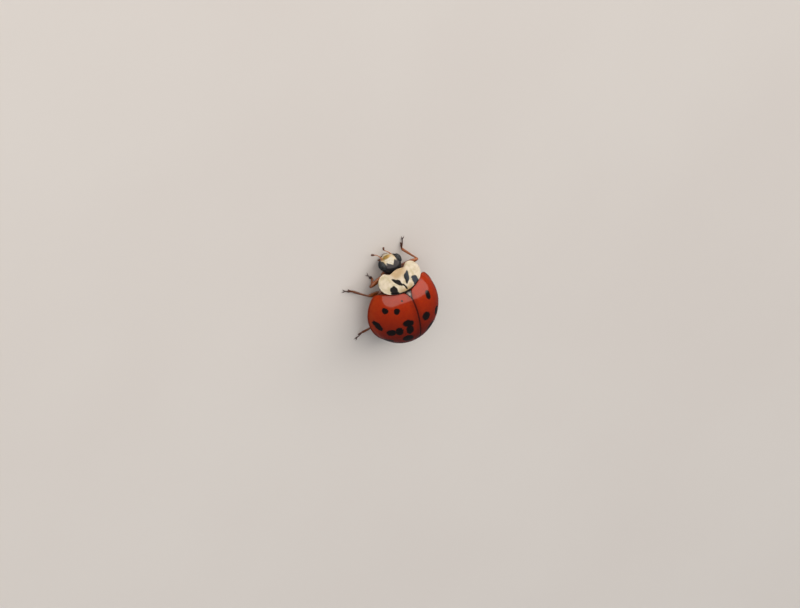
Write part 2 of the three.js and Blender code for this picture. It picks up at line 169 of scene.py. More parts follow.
def turned(stations, sides):
    """A closed round body drawn upwards through stations of (height, half width, half depth).

    A station that lies off the middle also has how far, along x and along y.
    """
    stations = [(*station, 0, 0)[:5] for station in stations]
    height, wide, deep, at_x, at_y = stations[0]
    base = (at_x, at_y, height)
    bpy.ops.mesh.primitive_circle_add(vertices=sides, radius=1, fill_type="NGON", location=base)
    piece = bpy.context.object
    piece.scale = (wide, deep, 1)
    bpy.ops.object.transform_apply(location=True, rotation=True, scale=True)
    with editing(piece):
        for here, following in zip(stations, stations[1:]):
            low, wide, deep, x, y = here
            high, next_wide, next_deep, next_x, next_y = following
            rise = (next_x - x, next_y - y, high - low)
            bpy.ops.mesh.extrude_region_move(TRANSFORM_OT_translate={"value": rise})
            widening = (next_wide / wide, next_deep / deep, 1)
            bpy.ops.transform.resize(value=widening, center_override=(next_x, next_y, high))
    return finish_with(tidy(piece), "SUBSURF", levels=1, render_levels=1)


def aimed(piece, start, end, top=UP, width=1.0):
    """Turns a piece that was drawn upwards, one long, so that it reaches from start to end."""
    start = Vector(start)
    along = Vector(end) - start
    length = along.length
    along.normalize()
    side = Vector(top).cross(along)
    side = side.normalized() if side.length > 1e-3 else Vector((1, 0, 0))
    axes = Matrix((side, along.cross(side), along)).transposed().to_4x4()
    return moved(piece, Matrix.Translation(start) @ axes @ Matrix.Diagonal((width, width, length, 1)))


def ball(place, half_axes, segments=32, rings=20):
    """An ellipsoid whose pole is up."""
    bpy.ops.mesh.primitive_uv_sphere_add(segments=segments, ring_count=rings, radius=1)
    return moved(tidy(bpy.context.object), Matrix.Translation(place) @ Matrix.Diagonal((*half_axes, 1)))


def smooth_line(places, t):
    """A point on the smooth line through places, at t from 0 to 1."""
    spans = len(places) - 1
    at = min(max(t, 0), 1) * spans
    i = min(int(at), spans - 1)
    u = at - i
    p1, p2 = Vector(places[i]), Vector(places[i + 1])
    p0 = Vector(places[i - 1]) if i else p1 * 2 - p2
    p3 = Vector(places[i + 2]) if i + 2 <= spans else p2 * 2 - p1
    return 0.5 * (
        2 * p1 + (p2 - p0) * u + (2 * p0 - 5 * p1 + 4 * p2 - p3) * u**2 + (3 * p1 - p0 - 3 * p2 + p3) * u**3
    )


def ridge_at(value, centre, reach):
    """A rounded ridge, 1 at its centre and near 0 beyond its reach."""
    return math.exp(-(((value - centre) / reach) ** 2))


def bump_at(x, y, centre_x, centre_y, reach_x, reach_y):
    """A rounded swelling, 1 at its centre and near 0 beyond its reach."""
    return ridge_at(x, centre_x, reach_x) * ridge_at(y, centre_y, reach_y)


def step(value, low, high):
    """0 below low, 1 above high and smooth between."""
    t = min(max((value - low) / (high - low), 0), 1)
    return t * t * (3 - 2 * t)


# ---- Materials ----

# A pattern's size is in millimetres, so a texture's Scale is one over it.


def hex_colour(code):
    """An sRGB hex value as linear colour."""
    parts = [int(code[i : i + 2], 16) / 255 for i in (0, 2, 4)]
    return (*(p / 12.92 if p <= 0.04045 else ((p + 0.055) / 1.055) ** 2.4 for p in parts), 1)


def add(tree, kind, inputs=None, **settings):
    """Adds a node with its settings. An input is set, or linked to a socket or a node's first live output."""
    node = tree.nodes.new(kind)
    for name, value in settings.items():
        setattr(node, name, value)
    for name, value in (inputs or {}).items():
        if isinstance(value, bpy.types.Node):
            value = next(output for output in value.outputs if output.enabled)
        if isinstance(value, bpy.types.NodeSocket):
            tree.links.new(value, node.inputs[name])
        else:
            node.inputs[name].default_value = value
    return node


CHITIN_IOR = 1.56
SMOOTH = {"interpolation_type": "SMOOTHSTEP"}
COLOURS = {"data_type": "RGBA"}  # a Mix node of this type takes its two colours in inputs 6 and 7
ENDLESS = 1e5  # a height so great that a pattern is the same at every z
INWARDS = {"vector_type": "TEXTURE"}  # a Mapping node of this type takes a place into a pattern's own frame


def new_material(name):
    """An empty material with its node tree, and the place on the piece in the animal's millimetres."""
    material = bpy.data.materials.new(name)
    material.use_nodes = True
    tree = material.node_tree
    tree.nodes.clear()
    spot = add(tree, "ShaderNodeTexCoord").outputs["Object"]
    in_mm = {"Location": MIDDLE, "Scale": (MM, MM, MM)}
    place = add(tree, "ShaderNodeMapping", {"Vector": spot, **in_mm}, **INWARDS)
    return material, tree, place


def where(tree, *limits, most=1.0):
    """A mask that is most where every (value, start, end) has passed its end, and fades to 0 at its start."""
    mask = None
    for value, start, end in limits:
        span = {"Value": value, "From Min": start, "From Max": end, "To Max": most}
        fade = add(tree, "ShaderNodeMapRange", span, **SMOOTH)
        most = 1.0
        mask = fade if mask is None else add(tree, "ShaderNodeMath", {0: mask, 1: fade}, operation="MULTIPLY")
    return mask


def patches(tree, place, size, detail=3.0, low=0.3, high=0.7, most=1.0):
    """A mask of soft blotches about size millimetres across."""
    cloud = add(tree, "ShaderNodeTexNoise", {"Vector": place, "Scale": 1 / size, "Detail": detail})
    return where(tree, (cloud, low, high), most=most)


def layered(tree, base, *layers):
    """Colours laid over a base one after another, each as (mask, colour)."""
    colour = hex_colour(base) if isinstance(base, str) else base
    for mask, over in layers:
        over = hex_colour(over) if isinstance(over, str) else over
        colour = add(tree, "ShaderNodeMix", {"Factor": mask, 6: colour, 7: over}, **COLOURS)
    return colour


def pits(tree, place, spacing, depth):
    """Relief of fine round pits that lie that far apart."""
    cells = add(tree, "ShaderNodeTexVoronoi", {"Vector": place, "Scale": 1 / spacing, "Randomness": 0.9})
    hollows = where(tree, (cells, 0.0, 0.35))
    return add(tree, "ShaderNodeBump", {"Height": hollows, "Distance": depth * MM, "Strength": 0.7})


def spots_on(tree, place, spots, *limits, wobble=0.07, edge=0.16):
    """A mask of spots, each (x, y, half length, half width, turn in degrees), seen from above."""
    noise = add(tree, "ShaderNodeTexNoise", {"Vector": place, "Scale": 1 / 0.25, "Detail": 2.0})
    ragged = noise.outputs["Color"]
    centred = add(tree, "ShaderNodeVectorMath", {0: ragged, 1: (-0.5, -0.5, -0.5)}, operation="ADD")
    stray = (wobble * 2, wobble * 2, 0)
    wobbled = add(tree, "ShaderNodeVectorMath", {0: centred, 1: stray, 2: place}, operation="MULTIPLY_ADD")
    nearest = None
    for x, y, half_long, half_wide, turn in spots:
        size = (half_long, half_wide, ENDLESS)
        spot = {"Location": (x, y, 0), "Rotation": (0, 0, math.radians(turn)), "Scale": size}
        inside = add(tree, "ShaderNodeMapping", {"Vector": wobbled, **spot}, **INWARDS)
        reach = add(tree, "ShaderNodeVectorMath", {0: inside}, operation="LENGTH")
        if nearest is not None:
            reach = add(tree, "ShaderNodeMath", {0: nearest, 1: reach}, operation="MINIMUM")
        nearest = reach
    return where(tree, (nearest, 1 + edge, 1 - edge), *limits)


# The wing cases' black spots, as spots_on() reads them, the left side's first.
CASE_SPOTS = [
    (2.0, -1.35, 0.22, 0.13, 62), (1.38, -1.26, 0.24, 0.18, 50), (2.61, -0.04, 0.42, 0.14, 99),
    (0.87, -0.11, 0.44, 0.3, 155), (0.84, 0.5, 0.47, 0.28, 94), (1.56, 0.42, 0.4, 0.26, 94),
    (2.04, 0.49, 0.34, 0.26, 76), (0.95, 1.46, 0.48, 0.34, 127), (0.75, -1.84, 0.07, 0.05, 0),
    (2.06, 1.62, 0.26, 0.2, -30), (0.55, 2.42, 0.24, 0.15, -20),
    (-1.33, -1.22, 0.33, 0.22, 92), (-0.63, 0.08, 0.42, 0.33, 120), (-1.74, 0.5, 0.36, 0.24, 80),
    (-2.58, -0.82, 0.2, 0.12, 75), (-2.67, -0.1, 0.38, 0.13, 82), (-0.98, 1.5, 0.42, 0.3, 50),
    (-2.05, 1.55, 0.26, 0.2, 30), (-0.55, 2.42, 0.24, 0.15, 20),
]


def wing_case_finish():
    """Elytral chitin: a hard waxed cuticle, glossy, and lit from within by an orange-red pigment.

    Its coat stands for stacked thin layers of wax and chitin, which reflect more than one layer would. So the
    coat's index is far above that of chitin, and the plain gloss is low.
    """
    material, tree, place = new_material("polished_red_chitin")
    x, y, z = add(tree, "ShaderNodeSeparateXYZ", {"Vector": place}).outputs
    across = add(tree, "ShaderNodeMath", {0: x}, operation="ABSOLUTE")
    clouds = add(tree, "ShaderNodeTexNoise", {"Vector": place, "Scale": 1 / 0.91, "Detail": 4.0})
    clouds_and_tail_shade = add(tree, "ShaderNodeMath", {0: clouds, 1: 0.8, 2: y}, operation="MULTIPLY_ADD")
    colour = layered(
        tree, "982a04",
        # Darker in clouds and towards the tail: the clouds are the chitin's own tone, and the darkening
        # towards the tail is painted shade.
        (where(tree, (clouds_and_tail_shade, -1.6, 2.9)), "5a0c02"),
        # Oranger low on the sides: painted light, as of warm light reflected onto the flanks.
        (where(tree, (z, 1.3, 0.2), most=0.5), "a63a02"),
        (patches(tree, place, 0.22, 5.0, 0.3, 0.75, most=0.35), "841804"),
        (spots_on(tree, place, CASE_SPOTS, (z, 0.07, 0.12)), "120706"),
        (where(tree, (across, 0.5, 0.1), most=0.35), "4e1002"),
        (where(tree, (across, 0.09, 0.035), most=0.9), "2c0604"),
        (where(tree, (z, 0.22, 0.1), (z, 0.03, 0.08), most=0.6), "5e1a04"),
    )
    swell = add(tree, "ShaderNodeTexNoise", {"Vector": place, "Scale": 1 / 0.5, "Detail": 2.0})
    fine = pits(tree, place, 0.085, 0.003)
    relief = add(
        tree, "ShaderNodeBump", {"Height": swell, "Distance": 0.05 * MM, "Strength": 0.6, "Normal": fine},
    )
    wear = add(tree, "ShaderNodeTexNoise", {"Vector": place, "Scale": 1 / 0.143, "Detail": 3.0})
    roughness = add(tree, "ShaderNodeMapRange", {"Value": wear, "To Min": 0.14, "To Max": 0.32})
    shader = add(
        tree, "ShaderNodeBsdfPrincipled",
        {
            "Base Color": colour, "Roughness": roughness, "Normal": relief, "IOR": CHITIN_IOR,
            "Specular IOR Level": 0.03,
            "Subsurface Weight": 0.1, "Subsurface Radius": (0.3 * MM, 0.1 * MM, 0.04 * MM),
            "Subsurface Scale": 0.6, "Coat Weight": 0.112, "Coat Roughness": 0.1, "Coat IOR": 3.2,
        },
    )
    add(tree, "ShaderNodeOutputMaterial", {"Surface": shader})
    return material


# The neck shield's black marks, in the same way.
SHIELD_MARKS = [
    (0.91, -2.58, 0.27, 0.24, 0), (0.85, -2.7, 0.15, 0.14, 0), (0.93, -2.42, 0.3, 0.12, -12),
    (-0.92, -2.57, 0.24, 0.22, 0), (-0.87, -2.7, 0.18, 0.11, -20), (-0.92, -2.42, 0.26, 0.12, 12),
    (0.42, -2.93, 0.38, 0.12, -45), (0.36, -2.92, 0.2, 0.16, -45),
    (-0.42, -2.93, 0.4, 0.14, 49), (-0.4, -2.94, 0.23, 0.21, 49),
    (0.005, -2.48, 0.16, 0.075, -75), (0.08, -2.65, 0.11, 0.06, -45),
]


def shield_finish():
    """Pronotal chitin: thin and unpigmented, so that it looks like waxed ivory with black marks in it."""
    material, tree, place = new_material("waxed_ivory_chitin")
    x, y, _ = add(tree, "ShaderNodeSeparateXYZ", {"Vector": place}).outputs
    across = add(tree, "ShaderNodeMath", {0: x}, operation="ABSOLUTE")
    squared = add(tree, "ShaderNodeMath", {0: x, 1: x}, operation="MULTIPLY")
    hind = add(tree, "ShaderNodeMath", {0: squared, 1: 0.1, 2: y}, operation="MULTIPLY_ADD")
    colour = layered(
        tree, "c9c2b0",
        (patches(tree, place, 0.35, 4.0, 0.35), "b1a98c"),
        (where(tree, (y, -2.85, -3.35), (across, 0.95, 0.3), most=0.65), "a58860"),
        (where(tree, (y, -2.65, -2.35), (across, 0.9, 0.3), most=0.7), "957c4e"),
        (
            spots_on(tree, place, SHIELD_MARKS, wobble=0.04, edge=0.12),
            # Black, running to slate on the animal's right side: the slate is a painted bluish sheen.
            layered(tree, "070506", (where(tree, (x, -0.1, -0.6)), "2c343e")),
        ),
        # A dark line along the hind edge: partly the shield's own dark margin, partly painted shadow of the
        # gap before the wing cases.
        (where(tree, (hind, -2.31, -2.26), (across, 1.3, 1.1)), "180b07"),
    )
    shader = add(
        tree, "ShaderNodeBsdfPrincipled",
        {
            "Base Color": colour, "Roughness": 0.34, "Normal": pits(tree, place, 0.07, 0.004),
            "IOR": CHITIN_IOR, "Specular IOR Level": 0.06,
            "Subsurface Weight": 0.1, "Subsurface Radius": (0.3 * MM, 0.2 * MM, 0.1 * MM),
            "Subsurface Scale": 0.5, "Coat Weight": 0.06, "Coat Roughness": 0.15, "Coat IOR": 1.7,
        },
    )
    add(tree, "ShaderNodeOutputMaterial", {"Surface": shader})
    return material


def toned_chitin(name, light, dark, roughness, spacing=0.05, depth=0.004, coat=0.15):
    """Body chitin that runs from light to dark with the piece's own tone, finely pitted."""
    material, tree, place = new_material(name)
    tone = add(tree, "ShaderNodeAttribute", attribute_name="tone").outputs["Fac"]
    blotches = patches(tree, place, 0.3, 4.0, most=0.22)
    darkness = add(tree, "ShaderNodeMath", {0: tone, 1: 0.8, 2: blotches}, operation="MULTIPLY_ADD")
    shader = add(
        tree, "ShaderNodeBsdfPrincipled",
        {
            "Base Color": layered(tree, light, (darkness, dark)), "Roughness": roughness,
            "Normal": pits(tree, place, spacing, depth), "IOR": CHITIN_IOR, "Specular IOR Level": 0.3,
            "Coat Weight": coat, "Coat Roughness": 0.12, "Coat IOR": 1.7,
        },
    )
    add(tree, "ShaderNodeOutputMaterial", {"Surface": shader})
    return material


def face_finish():
    """Head chitin: glossy black with a cream face and a horn-yellow lip, as ivory is inlaid in ebony."""
    material, tree, place = new_material("black_and_cream_chitin")
    facing = {"Location": HEAD_MIDDLE, "Rotation": (HEAD_TILT, 0, 0)}
    on_face = add(tree, "ShaderNodeMapping", {"Vector": place, **facing}, **INWARDS)
    noise = add(tree, "ShaderNodeTexNoise", {"Vector": place, "Scale": 1 / 0.167, "Detail": 2.0})
    ragged = noise.outputs["Color"]
    stray = (0.06, 0.06, 0.0)
    wobbled = add(tree, "ShaderNodeVectorMath", {0: ragged, 1: stray, 2: on_face}, operation="MULTIPLY_ADD")
    x, up, out = add(tree, "ShaderNodeSeparateXYZ", {"Vector": wobbled}).outputs
    aside = add(tree, "ShaderNodeMath", {0: x, 1: 0.06}, operation="SUBTRACT")
    side = add(tree, "ShaderNodeMath", {0: aside}, operation="ABSOLUTE")
    # The cream face has one peak in the middle, and one beside each eye.
    point = add(tree, "ShaderNodeMath", {0: up, 1: side}, operation="ADD")
    from_horn = add(tree, "ShaderNodeMath", {0: side, 1: 0.42}, operation="SUBTRACT")
    off_horn = add(tree, "ShaderNodeMath", {0: from_horn}, operation="ABSOLUTE")
    peaks = add(
        tree, "ShaderNodeMath",
        {0: where(tree, (point, 0.33, 0.26)), 1: where(tree, (off_horn, 0.08, 0.035), (up, 0.17, -0.12))},
        operation="MAXIMUM",
    )
    front = where(tree, (out, 0.02, 0.1), (side, 0.54, 0.47))
    face = add(tree, "ShaderNodeMath", {0: peaks, 1: front}, operation="MULTIPLY")
    lip_frame = {"Location": (0.14, -0.47, 0.3), "Scale": (0.36, 0.17, 1.0)}
    near_lip = add(tree, "ShaderNodeMapping", {"Vector": wobbled, **lip_frame}, **INWARDS)
    from_lip = add(tree, "ShaderNodeVectorMath", {0: near_lip}, operation="LENGTH")
    mottle = patches(tree, place, 0.12)
    lip = layered(tree, "93752e", (mottle, "7a6428"), (where(tree, (x, 0.15, -0.1), most=0.6), "b0925a"))
    cream = layered(
        tree, "bfbeb4", (mottle, "b0ab90"),
        (where(tree, (side, 0.2, 0.45), (up, 0.1, -0.2), most=0.6), "c2aa7c"),
        (where(tree, (from_lip, 1.3, 0.6)), lip),
    )
    tone = add(tree, "ShaderNodeAttribute", attribute_name="tone").outputs["Fac"]
    colour = layered(
        # The black runs lighter, to purple-grey, towards the cream face: a painted sheen.
        tree, "0c0c0d", (mottle, "131214"), (where(tree, (up, 0.6, 0.25), most=0.8), "201d22"),
        (tone, "5a3418"), (face, cream),
    )
    shader = add(
        tree, "ShaderNodeBsdfPrincipled",
        {
            "Base Color": colour, "Roughness": 0.3, "Normal": pits(tree, place, 0.05, 0.004),
            "IOR": CHITIN_IOR, "Specular IOR Level": 0.15,
            "Coat Weight": 0.3, "Coat Roughness": 0.12, "Coat IOR": 1.5,
        },
    )
    add(tree, "ShaderNodeOutputMaterial", {"Surface": shader})
    return material


def eye_finish():
    """Cornea of a compound eye: clear chitin lenses over black, each one a small gloss of its own."""
    material, tree, place = new_material("faceted_black_cornea")
    grain = add(tree, "ShaderNodeTexNoise", {"Vector": place, "Scale": 1 / 0.02, "Detail": 1.0})
    relief = add(tree, "ShaderNodeBump", {"Height": grain, "Distance": 0.001 * MM, "Strength": 0.4})
    # Black with blotches of slate-teal, which are a painted bluish sheen on the eye.
    colour = layered(tree, "0b0e11", (patches(tree, place, 0.25, 2.0), "1c272c"))
    shader = add(
        tree, "ShaderNodeBsdfPrincipled",
        {
            "Base Color": colour, "Roughness": 0.26, "Normal": relief, "IOR": CHITIN_IOR,
            "Specular IOR Level": 0.2, "Coat Weight": 0.5, "Coat Roughness": 0.12, "Coat IOR": 1.45,
        },
    )
    add(tree, "ShaderNodeOutputMaterial", {"Surface": shader})
    return material


def board_finish():
    """Matt board: pale and even, so that only the model's shadow shows on it."""
    material, tree, place = new_material("matt_pale_board")
    colour = layered(tree, "e0e0dd", (patches(tree, place, 30.0), "dddcd9"))
    shader = add(tree, "ShaderNodeBsdfPrincipled", {"Base Color": colour, "Roughness": 0.8})
    add(tree, "ShaderNodeOutputMaterial", {"Surface": shader})
    return material


# ---- Wing cases ----

LIP = 0.06  # how far the turned-up edge stands out from the foot of the dome
SUTURE_HALF = 0.004  # half the slit between the closed wing cases
SHOULDER_SHARE = 0.3  # of the outline's length, the base's
CASE_FRONT_Y = -1.66
# Where the base meets the side edge, round from straight ahead. The animal's two sides differ a little.
SHOULDER_TURNS = {1: math.radians(51), -1: math.radians(57)}
# The base, from the scutellum's tip along its side and then behind the neck shield to the shoulder.
SCUTELLUM_SIDE = [
    (SUTURE_HALF, CASE_FRONT_Y, 0), (0.1, -1.86, 0), (0.24, -2.06, 0), (0.4, -2.15, 0), (0.6, -2.18, 0),
]
CASE_BASES = {
    1: [
        *SCUTELLUM_SIDE,
        (0.95, -2.19, 0), (1.3, -2.19, 0), (1.6, -2.15, 0), (1.84, -2.06, 0), (2.03, -1.92, 0),
    ],
    -1: [
        *SCUTELLUM_SIDE,
        (0.95, -2.18, 0), (1.3, -2.15, 0), (1.56, -2.1, 0), (1.8, -1.99, 0), (2.02, -1.85, 0),
        (2.2, -1.67, 0),
    ],
}
# The turned-up edge and the folded-under band, as (distance out from the dome's foot, height).
CASE_EDGE = [
    (0.006, 0.115), (0.02, 0.09), (0.038, 0.082), (0.052, 0.08), (0.06, 0.066), (0.06, 0.042), (0.052, 0.018),
    (0.03, 0.004), (-0.01, 0.0), (-0.08, 0.01), (-0.18, 0.03), (-0.28, 0.045), (-0.36, 0.06), (-0.41, 0.09),
    (-0.43, 0.14), (-0.43, 0.22),
]
# The same rows along the base, where the edge only turns down and under.
CASE_BASE_EDGE = [
    (0.004, -0.012), (0.008, -0.03), (0.008, -0.05), (0.004, -0.07), (0.0, -0.09), (-0.004, -0.11),
    *((-0.01 - 0.005 * down, -0.13 - 0.02 * down) for down in range(10)),
]
BAND_START = 8  # the row from which the band folds inwards
CASE_THICK = 0.045
CASE_LOWEST = 0.13  # the least height of the dome, where its raised edge begins


def dome_height(x, y):
    """How high the closed wing cases stand above the rim."""
    long = (DOME_REAR if y > 0 else DOME_FRONT) - LIP
    reach = min(1, math.hypot(x / (HALF_WIDTH - LIP), y / long))
    height = DOME_HEIGHT * math.sqrt(1 - reach**DOME_POWER)
    height += 0.04 * bump_at(abs(x), y, 1.75, -1.45, 0.4, 0.4)  # shoulder swelling
    height += 0.02 * bump_at(abs(x), y, 0.9, 2.35, 1.3, 0.14)  # cross ridge before the tip
    return height - 0.02 * math.exp(-abs(x) / 0.03)  # the suture's edges turn down


def case_outline(side, v):
    """The edge of a wing case at v, the way out from it, and how far it belongs to the side, 0 to 1.

    v is 0 at the scutellum and 1 at the tip.
    """
    shoulder = SHOULDER_TURNS[side]
    if v < SHOULDER_SHARE:
        line = [*CASE_BASES[side], foot_at(shoulder)[0]]
        t = v / SHOULDER_SHARE
        here = smooth_line(line, t)
        ahead = smooth_line(line, min(t + 0.02, 1)) - smooth_line(line, t - 0.02)
        out = Vector((ahead.y, -ahead.x, 0)).normalized()
        return here, out, step(t, 0.7, 1.0)
    turn = shoulder + (math.pi - shoulder) * (v - SHOULDER_SHARE) / (1 - SHOULDER_SHARE)
    return (*foot_at(turn), 1.0)


def foot_at(turn):
    """The foot of the dome at a turn from straight ahead, and the way out from it."""
    long = (DOME_REAR if turn > math.pi / 2 else DOME_FRONT) - LIP
    wide = HALF_WIDTH - LIP
    place = Vector((wide * math.sin(turn), -long * math.cos(turn), 0))
    out = Vector((math.sin(turn) / wide, -math.cos(turn) / long, 0)).normalized()
    return place, out


def wing_case(side, material):
    """A thin domed shell from the suture to its turned-up edge, folded under along the side."""
    across, along = 80, 168
    rows = across + len(CASE_EDGE)
    bpy.ops.mesh.primitive_grid_add(x_subdivisions=rows, y_subdivisions=along, size=2)
    piece = bpy.context.object
    lines = {}

    def place(grid_x, grid_y, _):
        row = round((grid_x + 1) / 2 * rows)
        v = round((grid_y + 1) / 2, 5)
        if v not in lines:
            lines[v] = case_outline(side, v)
        foot, out, sideness = lines[v]
        if row > across:
            k = row - across - 1
            side_out, side_up = CASE_EDGE[k]
            base_out, base_up = CASE_BASE_EDGE[k]
            if k >= BAND_START:  # the band narrows towards the tip
                side_out *= 1 - 0.75 * step(v, 0.5, 1.0)
            at = foot + out * (base_out + (side_out - base_out) * sideness)
            top = max(dome_height(foot.x, foot.y), CASE_LOWEST)
            up = (top + base_up) * (1 - sideness) + side_up * sideness
            return (side * max(at.x, SUTURE_HALF), at.y, up)
        u = 1 - (1 - row / across) ** 2  # the rows lie closer together towards the edge
        suture = Vector((SUTURE_HALF, CASE_FRONT_Y + (DOME_REAR - LIP - CASE_FRONT_Y) * v**1.4, 0))
        at = suture.lerp(foot, u)
        return (side * max(at.x, SUTURE_HALF), at.y, max(dome_height(at.x, at.y), CASE_LOWEST))

    formed(piece, place)
    tidy(piece, merge=2e-4)
    finish_with(piece, "SOLIDIFY", thickness=CASE_THICK, offset=-1)
    name = "left" if side > 0 else "right"
    return settle(piece, f"wing_case_{name}", material, "wing_case", f"elytron_{name}")


SCUTELLUM_MIDDLE_Y = -1.98
SCUTELLUM_HALF_WIDTH = 0.27
SCUTELLUM_HALF_LENGTH = 0.32
SCUTELLUM_THICK = 0.3


def scutellum(material):
    """The small three-cornered plate between the bases of the wing cases."""
    bpy.ops.mesh.primitive_circle_add(vertices=3, radius=1, fill_type="NGON")
    piece = bpy.context.object
    with editing(piece):
        bpy.ops.mesh.extrude_region_move(TRANSFORM_OT_translate={"value": (0, 0, 1)})
    finish_with(tidy(piece), "BEVEL", width=0.12, segments=3)
    finish_with(piece, "SUBSURF", levels=3, render_levels=3, subdivision_type="SIMPLE")

    def place(x, y, z):
        plan_x = SCUTELLUM_HALF_WIDTH * x
        plan_y = SCUTELLUM_MIDDLE_Y + SCUTELLUM_HALF_LENGTH * y
        crown = 0.03 * (1 - x * x - y * y)
        beside = dome_height(0.2, plan_y) - 0.02  # just under the wing cases on both sides of it
        return (plan_x, plan_y, beside + crown + (z - 1) * SCUTELLUM_THICK)

    formed(piece, place)
    # Paler in the middle: a painted glint on the black plate.
    toned(piece, lambda at: 1.2 - 1.3 * bump_at(at.x, at.y, 0.02, -2.02, 0.08, 0.09))
    return settle(tidy(piece), "scutellum_plate", material, "horn_black", "scutellum")


# ---- Neck shield ----

SHIELD_SLOPE = math.radians(40)
SHIELD_REAR = -2.25
SHIELD_REAR_HEIGHT = 1.56
SHIELD_MIDDLE = 0.85  # from the hind edge down the slope
# Half of the outline, as (x, distance forward from the hind edge down the slope).
SHIELD_HALF = [
    (0, -0.07), (0.52, -0.04), (1.02, 0.09), (1.39, 0.26), (1.61, 0.47), (1.71, 0.74), (1.71, 1.0),
    (1.62, 1.26), (1.43, 1.5), (1.2, 1.66), (1.0, 1.7), (0.84, 1.63), (0.7, 1.53), (0.5, 1.55), (0.25, 1.62),
    (0, 1.65),
]
SHIELD_EDGE_HALF = 0.07  # half the thickness of the shield's rounded edge
SHIELD_SQUARENESS = 24  # the greater, the narrower the rounding of that edge


def shield_height(x, y):
    """How high the crowned top of the neck shield stands above the rim, without its raised edge."""
    along = (SHIELD_REAR - y) / math.cos(SHIELD_SLOPE)
    crown = 0.07 * (1 - ((along - SHIELD_MIDDLE) / 0.9) ** 2)
    return SHIELD_REAR_HEIGHT - along * math.sin(SHIELD_SLOPE) - 0.12 * x * x + crown


def shield_outline():
    """The outline as (turn about the middle, distance from it), in order of turn."""
    half = [Vector((x, -(a - SHIELD_MIDDLE), 0)) for x, a in SHIELD_HALF]
    count = 240
    line = [smooth_line(half, i / count) for i in range(count + 1)]
    whole = line + [Vector((-p.x, p.y, 0)) for p in reversed(line[1:-1])]
    return sorted((math.atan2(p.y, p.x), p.length) for p in whole)


def neck_shield(material):
    """The pronotum: a crowned shield with a fine raised edge, its underside turned in to the neck."""
    outline = shield_outline()
    piece = ball((0, 0, 0), (1, 1, 1), segments=192, rings=72)

    def reach_at(turn):
        for (t0, r0), (t1, r1) in zip(outline, outline[1:]):
            if t0 <= turn <= t1:
                return r0 + (r1 - r0) * (turn - t0) / max(t1 - t0, 1e-9)
        return outline[0][1]

    reaches = {}

    def place(x, y, z):
        share = min(1, math.hypot(x, y))
        turn = round(math.atan2(y, x), 4)
        if turn not in reaches:
            reaches[turn] = reach_at(turn)
        distance = reaches[turn] * share
        plan_x = math.cos(turn) * distance
        plan_y = SHIELD_REAR - (SHIELD_MIDDLE - math.sin(turn) * distance) * math.cos(SHIELD_SLOPE)
        top = shield_height(plan_x, plan_y)
        raised = 0.025 * ridge_at(share, 0.975, 0.02) - 0.02 * ridge_at(share, 0.93, 0.03)
        bow = math.sqrt(max(0, 1 - share**SHIELD_SQUARENESS))
        if z >= 0:
            return (plan_x, plan_y, top + raised - SHIELD_EDGE_HALF * (1 - bow))
        return (plan_x, plan_y, top - SHIELD_EDGE_HALF * (1 + bow) - 0.3 * (1 - share**2))

    formed(piece, place)
    return settle(tidy(piece), "neck_shield", material, "neck_shield", "pronotum")


# ---- Head: modelled facing up, x to its left, y towards its crown and z out of its face ----

HEAD_MIDDLE = Vector((0, -3.62, -0.3))
HEAD_TILT = math.radians(55)
HEAD_SET = Matrix.Translation(HEAD_MIDDLE) @ Matrix.Rotation(HEAD_TILT, 4, "X")
EYE_PLACE = Vector((0.65, -0.08, 0.11))
EYE_AXES = (0.26, 0.37, 0.32)
# Swellings that the head capsule is blended from, as (place, half axes).
HEAD_SWELLS = [
    ((0, 0.05, -0.02), (0.78, 0.75, 0.5)), ((0, -0.2, 0.12), (0.58, 0.5, 0.35)),
    ((0, -0.56, 0.05), (0.42, 0.22, 0.21)), ((0.52, -0.27, -0.08), (0.26, 0.32, 0.28)),
    ((-0.52, -0.27, -0.08), (0.26, 0.32, 0.28)), ((0, 0.45, -0.15), (0.6, 0.4, 0.4)),
    ((0, 0.35, -0.45), (0.5, 0.45, 0.35)), ((0, -0.3, -0.22), (0.4, 0.42, 0.26)),
]
# Small parts of the mouth, drawn upwards as turned() reads them.
JAW = [(0, 0.09, 0.1), (0.4, 0.1, 0.1, 0.05, 0), (0.75, 0.07, 0.07, 0.03, 0), (1, 0.025, 0.03, -0.07, 0)]
PALP_LINK = [(0, 0.5, 0.5), (0.15, 0.8, 0.8), (0.7, 1, 1), (1, 0.7, 0.7)]
PALP_HATCHET = [
    (0, 0.04, 0.05), (0.2, 0.07, 0.06, 0.01, 0), (0.65, 0.13, 0.065, 0.03, 0), (0.92, 0.17, 0.06, 0.05, 0),
    (1, 0.14, 0.04, 0.05, 0),
]
# Two links of the long palp, under its hatchet, and the two of the short one, as (root, tip, half width).
PALP_LINKS = [
    ((0.3, -0.38, -0.3), (0.42, -0.46, -0.33), 0.05), ((0.41, -0.45, -0.33), (0.45, -0.58, -0.31), 0.052),
    ((0.12, -0.6, -0.3), (0.16, -0.74, -0.3), 0.04), ((0.16, -0.72, -0.3), (0.19, -0.86, -0.26), 0.032),
]


